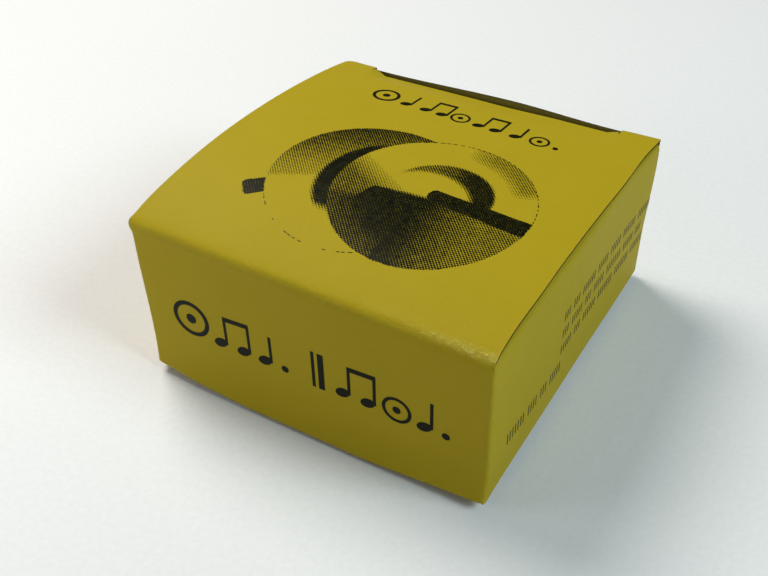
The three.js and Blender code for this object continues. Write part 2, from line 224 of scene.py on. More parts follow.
def slack(points):
    """How far the used carton has gone out of true at a place."""
    x, y, z = np.moveaxis(points, -1, 0)
    from_left, from_front = x + HALF_WIDTH, y + HALF_DEPTH
    foot = np.clip((9 - z) / 9, 0, 1) ** 2
    splay = foot * near(from_front, 5)
    past_corner = smooth(from_left / 12)
    near_corner = smooth((from_front - 0.5) / 6) * (1 - smooth((from_front - 14) / 18))
    lifted = near_corner * foot * near(x - HALF_WIDTH, 4)
    upper = smooth((z - 10) / 20)
    front_left = upper * near(from_left, 6) * near(from_front, 9)
    back_right = upper * near(x - HALF_WIDTH, 6) * near(y - HALF_DEPTH, 9)
    shift_x = CORNER_OUT * (back_right - front_left)
    shift_y = CORNER_BACK * back_right - mix(*FOOT_SPLAY, past_corner) * splay
    return np.stack([shift_x, shift_y, FOOT_LIFT * lifted - FOOT_DROP * splay * (1 - past_corner)], -1)


def waviness(u, v):
    """How far the card stands off its ideal surface."""
    slow = 0.09 * np.sin(u / 11.3 + 1.1) * np.sin(v / 8.7 + 0.6)
    slanted = 0.04 * np.sin(u / 6.9 - v / 9.3 + 2.0)
    dents = sum(depth * near(np.hypot(u - a, v - b), size) for a, b, size, depth in CRUMPLES)
    return slow + slanted - dents


# Small dents where the front crease was pinched: place on the blank, size and depth.
CRUMPLES = (
    (RIGHT - 3.4, WALL + 0.7, 0.8, 0.20),
    (RIGHT - 1.9, WALL + 0.2, 0.5, 0.16),
    (RIGHT - 5.2, WALL + 1.3, 0.9, 0.09),
    (FRONT + 2.6, WALL + 0.8, 0.6, 0.14),
)


def wall_surface(u, v, corner_fold=CORNER_FOLD):
    """The ring of four walls, and before it the glue flap, which steps in behind the left
    wall's free edge."""
    past = [turn(u - at, corner_fold) for at in (FRONT, RIGHT, BACK, LEFT)]
    x = -HALF_WIDTH + past[0] - past[1] - past[2] + past[3]
    y = -HALF_DEPTH - u + past[0] + past[1] - past[2] - past[3]
    x = x + GLUE_STEP * smooth((-u - 0.1) / 1.1)
    return np.stack([x, y, LOW + v + 0.0 * u], -1)


def beyond_crease(past):
    """0 on a closure's strip of wall, and 1 from just past its crease."""
    return smooth((past + 0.9) / 1.8)


def corner_rounding(u, v):
    """How far the ring's rounded corners lie inside sharp ones. A closure keeps to them on its
    strip of wall, and is straight out to its sides past the crease."""
    on_wall = 1 - beyond_crease(np.maximum(v - WALL, -v))
    return (wall_surface(u, v) - wall_surface(u, v, 1e-6)) * on_wall[..., None]


def lid_surface(u, v):
    x = u - HALF_WIDTH
    fold = mix(*LID_FOLD, smooth(u / WIDTH))
    y = -HALF_DEPTH + turn(v - WALL, fold)
    z = lid_height(x, y) - turn(WALL - v, fold)
    ear = LEFT_EAR * near(v - WALL - 0.4, 1.0) * smooth((4.0 - u) / 5.0)
    middle = smooth((v - WALL - 3.0) / 14.0) * (1 - smooth((v - WALL - 50.0) / 16.0))
    overhang = RIGHT_OVERHANG * smooth((u - WIDTH + 5.0) / 4.5) * middle
    return np.stack([x - ear + overhang, y, z], -1) + corner_rounding(u, v)


def lid_tuck_surface(u, v):
    x = u - HALF_WIDTH
    past = v - WALL - LID_REACH
    y = HALF_DEPTH - TUCK_INSET - turn(-past, TUCK_FOLD)
    down = turn(past, TUCK_FOLD)
    z = lid_height(x, y) - math.cos(TUCK_LEAN) * down
    return np.stack([x, y - math.sin(TUCK_LEAN) * down, z], -1)


def top_dust_surface(side, middle):
    """side is 1 on the right and -1 on the left. middle is where on the blank it is centred."""

    def surface(u, v):
        y = side * (u - middle)
        inward = turn(v - WALL, FOLD)
        x = side * (HALF_WIDTH - inward)
        under_lid = lid_height(x, y) - CARD - PLY_GAP
        rise = 1 - np.exp(-((inward / 3.6) ** 1.7))
        z = HIGH - turn(WALL - v, FOLD) + rise * (under_lid - HIGH)
        return np.stack([x, y, z], -1) + corner_rounding(u, v)

    return surface


def bottom_surface(u, v):
    y = (LEFT + HALF_DEPTH) - u
    x = -HALF_WIDTH + turn(-v, FOOT_FOLD)
    z = bottom_height(x) + turn(v, FOOT_FOLD)
    return np.stack([x, y, z], -1) + corner_rounding(u, v)


def bottom_tuck_surface(u, v):
    y = (LEFT + HALF_DEPTH) - u
    past = -v - BOTTOM_REACH
    x = HALF_WIDTH - TUCK_INSET - turn(-past, TUCK_FOLD)
    up = turn(past, TUCK_FOLD)
    z = bottom_height(x) + math.cos(TUCK_LEAN) * up
    return np.stack([x - math.sin(TUCK_LEAN) * up, y, z], -1)


def bottom_dust_surface(side, middle):
    """side is -1 at the front and 1 at the back. The wall runs on down to the bottom's bow."""

    def surface(u, v):
        x = -side * (u - middle)
        y = side * (HALF_DEPTH - turn(-v, FOOT_FOLD))
        crease = bottom_height(x) + CARD + 0.08
        z = crease + turn(v, FOOT_FOLD) * (LOW + STRIP - crease) / STRIP
        return np.stack([x, y, z], -1) + corner_rounding(u, v)

    return surface


def lay(surface, u, v, offset=0.0):
    """Points on a folded surface, and the outward normals there."""

    def at(u, v):
        points = surface(u, v)
        return points + slack(points)

    step = 0.02
    normal = np.cross(at(u + step, v) - at(u - step, v), at(u, v + step) - at(u, v - step))
    normal /= np.linalg.norm(normal, axis=-1, keepdims=True)
    return at(u, v) + normal * (waviness(u, v) + offset)[..., None], normal


def crease_wear_and_glint(u, v):
    """How worn the print is, up to 1 where the lid's crease was pinched at its right end. That pinched
    end also carries a painted highlight: pale glints painted into the card's colour.
    """
    upright = np.min([np.abs(u - at) for at in (FRONT, RIGHT, BACK, LEFT, RING_END)], axis=0)
    upright = np.where((v > -1) & (v < WALL + 1), upright, np.inf)
    creases = (0.0, WALL, WALL + LID_REACH, -BOTTOM_REACH)
    level = np.min([np.abs(v - at) for at in creases], axis=0)
    along_lid = (u < WIDTH + 2) & (v > WALL - 2) & (v < WALL + 4)
    # Painted highlight: this mask also paints pale glints into the print at the crease's right end.
    pinched_and_glint = along_lid * smooth((u - 38) / 30) * near(v - WALL - 0.9, 1.5)
    return np.maximum(CREASE_WEAR * near(np.minimum(upright, level), 0.8), pinched_and_glint)


# ---- Materials ----


class Nodes:
    """A material's node tree, with short ways to add nodes."""

    def __init__(self, name, **values):
        self.material = bpy.data.materials.new(name)
        self.material.use_nodes = True
        self.tree = self.material.node_tree
        self.shader = self.tree.nodes["Principled BSDF"]
        for socket, value in values.items():
            self.shader.inputs[socket.replace("_", " ")].default_value = value

    def add(self, kind, inputs=(), **settings):
        node = self.tree.nodes.new(f"ShaderNode{kind}")
        for key, value in settings.items():
            setattr(node, key, value)
        for socket, value in dict(inputs).items():
            if isinstance(value, bpy.types.NodeSocket):
                self.tree.links.new(value, node.inputs[socket])
            else:
                node.inputs[socket].default_value = value
        return node

    def place(self, layer=None):
        """The object's own coordinates, or those of one of its flat layers."""
        if layer:
            return self.add("UVMap", uv_map=layer).outputs["UV"]
        return self.add("TexCoord").outputs["Object"]

    def scaled(self, vector, scale):
        inputs = {"Vector": vector, "Scale": scale}
        return self.add("Mapping", inputs).outputs["Vector"]

    def noise(self, vector, scale, detail=3.0, roughness=0.55):
        inputs = {"Vector": vector, "Scale": scale, "Detail": detail, "Roughness": roughness}
        return self.add("TexNoise", inputs).outputs["Fac"]

    def math(self, operation, a, b=0.0):
        return self.add("Math", {0: a, 1: b}, operation=operation).outputs[0]

    def times(self, a, b):
        return self.math("MULTIPLY", a, b)

    def spread(self, value, low, high, to_low=0.0, to_high=1.0):
        inputs = {
            "Value": value, "From Min": low, "From Max": high, "To Min": to_low, "To Max": to_high,
        }
        return self.add("MapRange", inputs).outputs["Result"]

    def blend(self, factor, a, b):
        inputs = {0: factor, 6: a, 7: b}
        return self.add("Mix", inputs, data_type="RGBA").outputs[2]

    def bump(self, height, depth, before=None):
        """Relief of a depth in millimetres, on top of an earlier one."""
        inputs = {"Height": height, "Distance": depth * MM, "Strength": 1.0}
        if before is not None:
            inputs["Normal"] = before
        return self.add("Bump", inputs).outputs["Normal"]

    def finish(self, color, roughness, relief):
        links = {"Base Color": color, "Roughness": roughness, "Normal": relief}
        for socket, value in links.items():
            self.tree.links.new(value, self.shader.inputs[socket])
        return self.material


def rgb(red, green, blue):
    return (red, green, blue, 1.0)


def printed_card():
    """Coated card, printed yellow all over: faint mottling, orange peel, and creases that are cracked
    and polished by handling. At the lid crease's pinched right end the pale colour is also a painted
    highlight, standing in for glints of light."""
    n = Nodes("printed_card", Specular_IOR_Level=0.07)
    at = n.place("blank")
    cloudy = n.noise(at, 9.0, 3.0)
    mottled = n.noise(at, 170.0, 4.0, 0.7)
    specks = n.noise(at, 620.0, 2.0, 0.5)
    cracks = n.noise(at, 130.0, 5.0, 0.65)
    wear_and_glint = n.add("Attribute", attribute_name="wear_and_glint").outputs["Fac"]
    rubbed = n.spread(n.times(wear_and_glint, mottled), 0.34, 0.60)
    ink = n.blend(n.spread(cloudy, 0.35, 0.65), rgb(0.362, 0.272, 0.0080), rgb(0.378, 0.286, 0.0095))
    ink = n.blend(n.spread(mottled, 0.30, 0.70), ink, rgb(0.388, 0.293, 0.0120))
    card_colour = n.blend(n.times(rubbed, 0.22), ink, rgb(0.50, 0.42, 0.10))
    # Painted highlight: the pale cracks and scuffs below show almost only where the lid's crease was
    # pinched. There they stand in for glints of light as well as for worn print.
    split = n.times(n.spread(wear_and_glint, 0.55, 1.0), n.spread(cracks, 0.53, 0.66))
    scuffed_and_glinting = n.blend(n.spread(wear_and_glint, 0.45, 1.0, 0.0, 0.30), card_colour, rgb(0.58, 0.48, 0.08))
    card_colour = n.blend(n.times(split, 0.55), scuffed_and_glinting, rgb(0.76, 0.66, 0.20))
    rough = n.math("SUBTRACT", n.spread(mottled, 0.3, 0.7, 0.52, 0.62), n.times(wear_and_glint, 0.26))
    relief = n.bump(cloudy, 0.30)
    relief = n.bump(mottled, 0.030, relief)
    relief = n.bump(specks, 0.010, relief)
    relief = n.bump(n.times(wear_and_glint, cracks), 0.42, relief)
    return n.finish(card_colour, rough, relief)


def inner_board():
    """The uncoated inside of the card, flecked with fibres. Its colour is darkened and tinted yellow
    to an olive brown: painted shade and painted yellow bounce light.
    """
    n = Nodes("inner_board", Specular_IOR_Level=0.2)
    at = n.place("blank")
    pulp = n.noise(at, 120.0, 5.0, 0.7)
    fibres = n.noise(n.scaled(at, (1.0, 0.22, 1.0)), 520.0, 3.0, 0.6)
    flecks = n.spread(n.noise(at, 260.0, 2.0), 0.66, 0.72)
    # Painted shade: these board colours are kept dark and yellow, as the inside looks in shade with
    # yellow bounce light.
    base = n.blend(n.spread(pulp, 0.3, 0.7), rgb(0.165, 0.146, 0.034), rgb(0.222, 0.198, 0.054))
    base = n.blend(n.times(flecks, 0.5), base, rgb(0.075, 0.062, 0.028))
    relief = n.bump(pulp, 0.05)
    relief = n.bump(fibres, 0.04, relief)
    return n.finish(base, n.spread(fibres, 0.3, 0.7, 0.80, 0.95), relief)


def cut_edge():
    """The card's die-cut edge: layers of fibre between the print and the inside, coloured a very dark
    yellow brown as painted shade under the lid's edge.
    """
    n = Nodes("cut_edge", Specular_IOR_Level=0.12)
    at = n.place()
    plies = n.noise(n.scaled(at, (1.0, 1.0, 6.0)), 900.0, 3.0, 0.6)
    torn = n.noise(at, 2600.0, 3.0, 0.7)
    # Painted shade: the edge's colours are kept far darker than bare card fibre.
    base = n.blend(n.spread(plies, 0.35, 0.65), rgb(0.030, 0.022, 0.003), rgb(0.055, 0.042, 0.006))
    return n.finish(base, n.spread(torn, 0.3, 0.7, 0.75, 0.95), n.bump(torn, 0.04))


def black_ink():
    n = Nodes("black_ink", Specular_IOR_Level=0.07)
    coverage = n.noise(n.place(), 900.0, 4.0, 0.7)
    thin = n.spread(coverage, 0.45, 0.75)
    base = n.blend(thin, rgb(0.0040, 0.0048, 0.0008), rgb(0.013, 0.014, 0.002))
    return n.finish(base, n.spread(coverage, 0.3, 0.7, 0.30, 0.50), n.bump(coverage, 0.010))


def turned_brass():
    """Brass with fine concentric turning marks, soft wear and darker tarnish."""
    n = Nodes("turned_brass", Metallic=1.0)
    at = n.place()
    flat = n.add("VectorMath", {0: at, 1: (1.0, 1.0, 0.0)}, operation="MULTIPLY").outputs[0]
    radius = n.add("VectorMath", {0: flat}, operation="LENGTH").outputs["Value"]
    rings = n.add("CombineXYZ", {"X": radius}).outputs[0]
    grooves = n.noise(n.scaled(rings, (4200.0, 1.0, 1.0)), 1.0, 4.0, 0.75)
    clouds = n.noise(at, 70.0, 5.0, 0.6)
    spots = n.spread(n.noise(at, 420.0, 3.0, 0.6), 0.60, 0.74)
    base = n.blend(n.spread(clouds, 0.35, 0.68), rgb(0.78, 0.55, 0.21), rgb(0.60, 0.38, 0.13))
    base = n.blend(n.times(spots, 0.5), base, rgb(0.30, 0.18, 0.07))
    cloud_rough = n.spread(clouds, 0.4, 0.7, 0.0, 0.16)
    rough = n.math("ADD", n.spread(grooves, 0.3, 0.7, 0.20, 0.34), cloud_rough)
    relief = n.bump(grooves, 0.035)
    relief = n.bump(clouds, 0.10, relief)
    return n.finish(base, rough, relief)


def woven_elastic():
    """Black woven elastic: ribs along its length, crossed by fine picks. The ribs' crests are coloured
    lighter than their hollows, a painted highlight.
    """
    n = Nodes("woven_elastic", Specular_IOR_Level=0.3, Sheen_Weight=0.25, Sheen_Roughness=0.5)
    split = n.add("SeparateXYZ", {0: n.place("weave")})
    rib_pitch = 0.72
    pick_pitch = 0.46
    ribs = n.math("SINE", n.times(split.outputs["X"], 2 * math.pi / rib_pitch))
    picks = n.math("SINE", n.times(split.outputs["Y"], 2 * math.pi / pick_pitch))
    weave = n.math("ADD", n.times(ribs, 0.6), n.times(n.times(ribs, picks), 0.4))
    fuzz = n.noise(n.place(), 1400.0, 4.0, 0.7)
    # Painted highlight: the colour lightens towards the crests of the weave.
    base = n.blend(n.spread(weave, -1.0, 1.0), rgb(0.006, 0.006, 0.008), rgb(0.040, 0.040, 0.046))
    base = n.blend(n.spread(fuzz, 0.55, 0.80), base, rgb(0.075, 0.075, 0.080))
    relief = n.bump(weave, 0.16)
    relief = n.bump(fuzz, 0.06, relief)
    return n.finish(base, n.spread(fuzz, 0.3, 0.7, 0.70, 0.92), relief)


def paper_floor():
    n = Nodes("paper_floor", Specular_IOR_Level=0.15)
    grain = n.noise(n.place(), 900.0, 3.0, 0.6)
    base = n.blend(n.spread(grain, 0.3, 0.7), rgb(0.74, 0.75, 0.78), rgb(0.78, 0.79, 0.82))
    return n.finish(base, n.spread(grain, 0.3, 0.7, 0.8, 0.95), n.bump(grain, 0.02))


CARD_MATERIALS = (printed_card(), inner_board(), cut_edge())
INK = black_ink()
BRASS_METAL = turned_brass()
ELASTIC = woven_elastic()

# ---- Meshes ----

BLANK_SCALE = 0.01  # the blank layer's units per millimetre


def make_object(name, points, faces, materials, slots=None, coordinates=None, sharp=35.0):
    """A smooth-shaded object from points in millimetres. coordinates is (name, pairs)."""
    mesh = bpy.data.meshes.new(name)
    mesh.from_pydata((np.asarray(points) * MM).tolist(), [], faces)
    for material in materials:
        mesh.materials.append(material)
    if slots is not None:
        mesh.polygons.foreach_set("material_index", np.asarray(slots, np.int32))
    if coordinates is not None:
        layer = mesh.uv_layers.new(name=coordinates[0])
        corner = np.zeros(len(mesh.loops), np.int32)
        mesh.loops.foreach_get("vertex_index", corner)
        layer.data.foreach_set("uv", np.asarray(coordinates[1], float)[corner].ravel())
    mesh.polygons.foreach_set("use_smooth", np.ones(len(mesh.polygons), bool))
    mesh.set_sharp_from_angle(angle=math.radians(sharp))
    mesh.update()
    made = bpy.data.objects.new(name, mesh)
    bpy.context.scene.collection.objects.link(made)
    return made


def circle(steps):
    """Points of a circle of radius 1."""
    angle = np.linspace(0, 2 * math.pi, steps, endpoint=False)
    return np.stack([np.cos(angle), np.sin(angle)], -1)


def level_rings(radii, heights, around):
    """Points on level circles, one for each radius and height."""
    points = np.empty((len(radii), around, 3))
    points[..., :2] = radii[:, None, None] * circle(around)
    points[..., 2] = heights[:, None]
    return points.reshape(-1, 3)


def ring_faces(index):
    """Faces between an index grid's neighbouring rows and columns, both closed up."""
    ahead, beside = np.roll(index, -1, 0), np.roll(index, -1, 1)
    return np.stack([index, ahead, np.roll(ahead, -1, 1), beside], -1)


def tangents(path, closed):
    """The directions along a path, of length 1."""
    along = np.roll(path, -1, 0) - np.roll(path, 1, 0) if closed else np.gradient(path, axis=0)
    return along / np.linalg.norm(along, axis=1, keepdims=True)


def card_piece(name, across, rows, surface, blank=None, keep=None):
    """A closed sheet of card. blank(a, v) says where the grid's lines lie on the blank, and
    keep(a, v) which of its cells are card."""
    a, v = np.meshgrid(across, rows)
    flat_u, flat_v = blank(a, v) if blank else (a, v)
    outer, normal = lay(surface, flat_u, flat_v)
    inner = outer - normal * CARD
    count = a.size
    index = np.arange(count).reshape(a.shape)
    quads = np.stack([index[:-1, :-1], index[:-1, 1:], index[1:, 1:], index[1:, :-1]], -1)
    if keep:
        middle_a = (a[:-1, :-1] + a[1:, 1:]) / 2
        middle_v = (v[:-1, :-1] + v[1:, 1:]) / 2
        quads = quads[keep(middle_a, middle_v)]
    quads = quads.reshape(-1, 4)
    edges = np.concatenate([quads[:, [i, (i + 1) % 4]] for i in range(4)])
    free = ~np.isin(edges @ [count, 1], edges @ [1, count])
    first, second = edges[free].T
    rim = np.stack([second, first, first + count, second + count], -1)
    faces = np.concatenate([quads, quads[:, ::-1] + count, rim])
    slots = np.repeat([0, 1, 2], [len(quads), len(quads), len(rim)])
    used, faces = np.unique(faces, return_inverse=True)
    faces = faces.reshape(-1, 4)
    points = np.concatenate([outer.reshape(-1, 3), inner.reshape(-1, 3)])[used]
    places = np.tile(np.stack([flat_u.ravel(), flat_v.ravel()], -1), (2, 1))[used]
    made = make_object(
        name, points, faces.tolist(), CARD_MATERIALS, slots, ("blank", places * BLANK_SCALE)
    )
    # Wear, and also painted highlight: this attribute places the pale glints at the pinched crease.
    wear_and_glint = made.data.attributes.new("wear_and_glint", "FLOAT", "POINT")
    wear_and_glint.data.foreach_set("value", crease_wear_and_glint(*places.T).astype(np.float32))
    return made


def make_walls():
    """Four walls and the glue flap in one sheet. Only the back wall's upper edge and the right
    wall's lower edge are free; elsewhere the closures' strips take over."""
    slot = SHOULDER - SLIT
    corners = (FRONT, RIGHT, BACK, LEFT)
    folds = [corner + past for corner in corners for past in (-CORNER_FOLD, 0, CORNER_FOLD)]
    slots = [BACK + slot - 0.5, BACK + slot + 1, LEFT - slot - 1, LEFT - slot + 0.5]
    columns = stations(*sorted([-GLUE_FLAP, *folds, *slots, LEFT_EDGE]))
    top_row = WALL - STRIP
    rows = stations(0, STRIP, top_row, WALL, fine=0.3, coarse=1.6)

    def blank(u, v):
        top = back_wall_top(HALF_WIDTH - (u - BACK)) - LOW
        reached = np.where(v > top_row, mix(top_row, top, (v - top_row) / STRIP), v)
        reached = np.where(v < STRIP, mix(FOOT_EDGE, STRIP, v / STRIP), reached)
        drawn_in = 1 - GLUE_TAPER * np.clip(-u / GLUE_FLAP, 0, 1)
        return u, WALL / 2 + (reached - WALL / 2) * drawn_in

    def keep(u, v):
        on_back = (u > BACK) & (u < LEFT)
        on_right = (u > RIGHT) & (u < BACK)
        return np.where(v > top_row, on_back, np.where(v < STRIP, on_right, True))

    walls = card_piece("carton_walls", columns, rows, wall_surface, blank, keep)
    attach(walls, "carton")
    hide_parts("front_wall", "right_wall", "back_wall", "left_wall", "glue_flap")


def corner_cut(past, radius):
    """What a rounded corner takes off a flap's side. past is 0 at the flap's free end."""
    t = np.clip((past + radius) / radius, 0, 1)
    return radius * (1 - np.sqrt(1 - t**2))


def make_lid():
    """From its strip of the front wall over the crease and back to the tuck crease, between
    two lock shoulders that run on to the back wall."""
    edge = HALF_WIDTH - SIDE_SLACK
    slot = HALF_WIDTH - SHOULDER
    overhang_start = edge - 5.1
    columns = stations(
        -edge, -edge + CORNER_FOLD, -slot - SLIT, -slot, slot, slot + SLIT, overhang_start,
        edge, coarse=1.2, short=5.2,
    )
    seam = WALL + LID_REACH - SEAM_BACK
    shoulder_end = WALL + DEPTH - SHOULDER_GAP
    rows = stations(WALL - STRIP, WALL + FOLD + 0.8, seam - 8, seam, shoulder_end, coarse=1.2)

    def blank(x, v):
        widened = x * mix(HALF_WIDTH / edge, 1, beyond_crease(v - WALL))
        cut = corner_cut(v - shoulder_end, LID_CORNER) * smooth((-x - slot) / SHOULDER)
        return HALF_WIDTH + widened + cut, v

    def keep(x, v):
        return (v < seam) | (np.abs(x) > slot + SLIT)

    lid = card_piece("carton_lid", columns, rows, lid_surface, blank, keep)
    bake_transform(lid)
    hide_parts("lid_panel")


def rounded_end(length, corner, steps=9):
    """Distances up to a flap's free end, closing up round its corners."""
    return length - corner + corner * np.sin(np.linspace(0, math.pi / 2, steps))


def tuck_flap(name, surface, middle, half_wall, length, crease, upward, columns):
    """A tuck flap, from just before its crease. crease is its height on the blank, and upward
    says whether the flap is above its closure there (1) or below it (-1)."""
    half_root = half_wall - SHOULDER - SLIT / 2

    def blank(s, v):
        down = upward * (v - crease)
        cut = corner_cut(down - length, TUCK_CORNER)
        return middle + s * (half_root - TUCK_TAPER * np.maximum(down, 0) - cut), v

    start = stations(-SEAM_BACK, TUCK_FOLD + 0.4, length - TUCK_CORNER, coarse=1.2)
    downs = np.concatenate([start[:-1], rounded_end(length, TUCK_CORNER)])
    rows = np.sort(crease + upward * downs)
    return card_piece(name, np.linspace(-1, 1, columns), rows, surface, blank)


def make_lid_tuck():
    tuck = tuck_flap(
        "carton_lid_tuck", lid_tuck_surface, HALF_WIDTH, HALF_WIDTH, LID_TUCK,
        WALL + LID_REACH, 1, 47,
    )
    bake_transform(tuck)
    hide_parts("lid_tuck_flap")


def dust_span(half, out, length):
    """The two ends of a dust flap at a distance past its crease: towards its closure's hinge,
    and towards the tuck crease."""
    past_step = np.maximum(0, out - DUST_STEP_AT)
    clear = DUST_CLEAR * smooth((out + 0.7) / 1.2)
    low = clear - half + np.maximum(0, out - 1) * DUST_HINGE_TAPER
    high = half - clear - DUST_STEP * (past_step > 0) - past_step * DUST_TUCK_TAPER
    cut = corner_cut(out - length, DUST_CORNER)
    return low + 0.3 * cut, high - cut


def dust_flap(body, surface, half, length, middle, towards_tuck, crease, upward):
    """A dust flap with its crease and its strip of wall. crease is its height on the blank.
    towards_tuck says which way the tuck crease lies along u, and upward whether the flap is
    above its wall (1) or below it (-1)."""
    step = DUST_STEP_AT
    main = stations(-STRIP, FOLD + 0.8, step - 0.05, step + 0.05, length - DUST_CORNER, coarse=1.3)
    outs = np.concatenate([main[:-1], rounded_end(length, DUST_CORNER, 7)])
    ends = stations(0, 0.02, 0.98, 1, fine=0.005, coarse=0.02, short=0.03)

    def blank(s, v):
        low, high = dust_span(half, upward * (v - crease), length)
        along = mix(low, high, s if towards_tuck > 0 else 1 - s)
        return np.minimum(middle + towards_tuck * along, LEFT_EDGE), v

    rows = np.sort(crease + upward * outs)
    flap = card_piece(f"carton_{body}", ends, rows, surface, blank)
    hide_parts(body.replace("dust", "dust_flap"))
    return flap


def make_dust_flaps():
    for body, side, wall in (("top_dust_left", -1, LEFT), ("top_dust_right", 1, RIGHT)):
        middle = wall + HALF_DEPTH
        surface = top_dust_surface(side, middle)
        flap = dust_flap(body, surface, HALF_DEPTH, DUST_TOP, middle, side, WALL, 1)
        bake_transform(flap)
    for body, side, wall in (("bottom_dust_front", -1, FRONT), ("bottom_dust_back", 1, BACK)):
        middle = wall + HALF_WIDTH
        surface = bottom_dust_surface(side, middle)
        flap = dust_flap(body, surface, HALF_WIDTH, DUST_BOTTOM, middle, -side, 0.0, -1)
        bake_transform(flap)


def make_bottom():
    """From its strip of the left wall under the carton to the tuck crease at the right."""
    edge = HALF_DEPTH - FOOT_SLACK
    slot = HALF_DEPTH - SHOULDER
    columns = stations(-edge, 1.3 - edge, -slot - SLIT, -slot, slot, slot + SLIT, edge, coarse=2.0)
    seam = SEAM_BACK - BOTTOM_REACH
    shoulder_end = SHOULDER_GAP - WIDTH
    rows = stations(shoulder_end, seam, -FOLD - 0.8, STRIP, coarse=1.6)

    def blank(along, v):
        u = LEFT + HALF_DEPTH + along * mix(HALF_DEPTH / edge, 1, beyond_crease(-v))
        return np.minimum(u, LEFT_EDGE), v

    def keep(along, v):
        return (v > seam) | (np.abs(along) > slot + SLIT)

    panel = card_piece("carton_bottom", columns, rows, bottom_surface, blank, keep)
    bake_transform(panel)
    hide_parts("bottom_panel")


def make_bottom_tuck():
    tuck = tuck_flap(
        "carton_bottom_tuck", bottom_tuck_surface, LEFT + HALF_DEPTH, HALF_DEPTH, BOTTOM_TUCK,
        -BOTTOM_REACH, -1, 41,
    )
    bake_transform(tuck)
    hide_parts("bottom_tuck_flap")


# ---- Print ----

INK_TOP = 0.035  # the ink's top face over the card
INK_ROOT = -0.03  # and its underside, just in the card


class Print:
    """Thin closed shapes of ink on one surface. Shapes are drawn in a panel's own x and y, and
    origin is where that panel's zero lies on the blank."""

    def __init__(self, surface, origin):
        self.surface = surface
        self.origin = origin
        self.points = []
        self.faces = []
        self.count = 0

    def _lay(self, flat, offset):
        u, v = flat[..., 0] + self.origin[0], flat[..., 1] + self.origin[1]
        return lay(self.surface, u, v, offset)[0].reshape(-1, 3)

    def tiles(self, outlines):
        """Closed outlines, counter-clockwise, as an array of tile, corner, xy."""
        number, corners = outlines.shape[:2]
        total = number * corners
        top = (self.count + np.arange(total)).reshape(number, corners)
        root = top + total
        self.points += [self._lay(outlines, INK_TOP), self._lay(outlines, INK_ROOT)]
        following = np.roll(top, -1, 1)
        sides = np.stack([root, np.roll(root, -1, 1), following, top], -1).reshape(-1, 4)
        self.faces += top.tolist() + root[:, ::-1].tolist() + sides.tolist()
        self.count += 2 * total

    def ribbon(self, path, half_widths, closed=False):
        """A stroke along a path, with a half width at each of its points."""
        path = np.asarray(path, float)
        half = np.broadcast_to(half_widths, len(path))[:, None]
        along = tangents(path, closed)
        left = path + half * np.stack([-along[:, 1], along[:, 0]], -1)
        right = 2 * path - left
        steps = len(path)
        edges = ((left, INK_TOP), (right, INK_TOP), (right, INK_ROOT), (left, INK_ROOT))
        self.points += [self._lay(edge, offset) for edge, offset in edges]
        index = self.count + np.arange(4 * steps).reshape(4, steps)
        faces = ring_faces(index)[:, :steps if closed else steps - 1]
        self.faces += faces.reshape(-1, 4).tolist()
        if not closed:
            self.faces += [index[::-1, 0].tolist(), index[:, -1].tolist()]
        self.count += 4 * steps

    def bar(self, start, end, half_width):
        length = math.dist(start, end)
        t = np.linspace(0, 1, max(2, round(length / 0.8) + 1))[:, None]
        self.ribbon(mix(np.array(start, float), np.array(end, float), t), half_width)

    def oval(self, centre, length, height, tilt=0.0):
        """A filled oval, as a stroke whose width swells and closes again."""
        t = -np.cos(np.linspace(0.06, math.pi - 0.06, 15))
        direction = np.array([math.cos(tilt), math.sin(tilt)])
        path = np.array(centre) + np.outer(t * length / 2, direction)
        self.ribbon(path, np.sqrt(1 - t**2) * height / 2)

    def ring(self, centre, radius, half_width):
        self.ribbon(np.array(centre) + radius * circle(40), half_width, closed=True)

    def finish(self, name, body):
        made = make_object(name, np.concatenate(self.points), self.faces, [INK])
        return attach(made, body)


REAR = (-3.1, -8.6)  # centres of the two pictured cymbals, on the lid
NEAR = (8.8, -6.9)
PICTURED = (18.0, 19.2)  # and their half width and half depth


def from_centre(x, y, centre):
    """Distance from a pictured cymbal's centre, as a part of its radius."""
    return np.hypot((x - centre[0]) / PICTURED[0], (y - centre[1]) / PICTURED[1])


def rear_tone(x, y):
    """The rear cymbal: blank in front, dark at its far rim, with the near one's shadow on it."""
    up = 0.86 * (y + 12.2) - 0.51 * (x + 13.0)
    surface = smooth((up + 0.3) / 1.5) * (0.22 + 0.62 * smooth(up / 17))
    deep = 17.3 - np.hypot(x - 4.2, y + 7.6)
    shadow = 0.97 * smooth(deep / 1.4) * (1 - smooth((-y - 17.5) / 2.5))
    return np.maximum(surface, shadow * (1 - 0.35 * smooth((y - 1) / 6)))


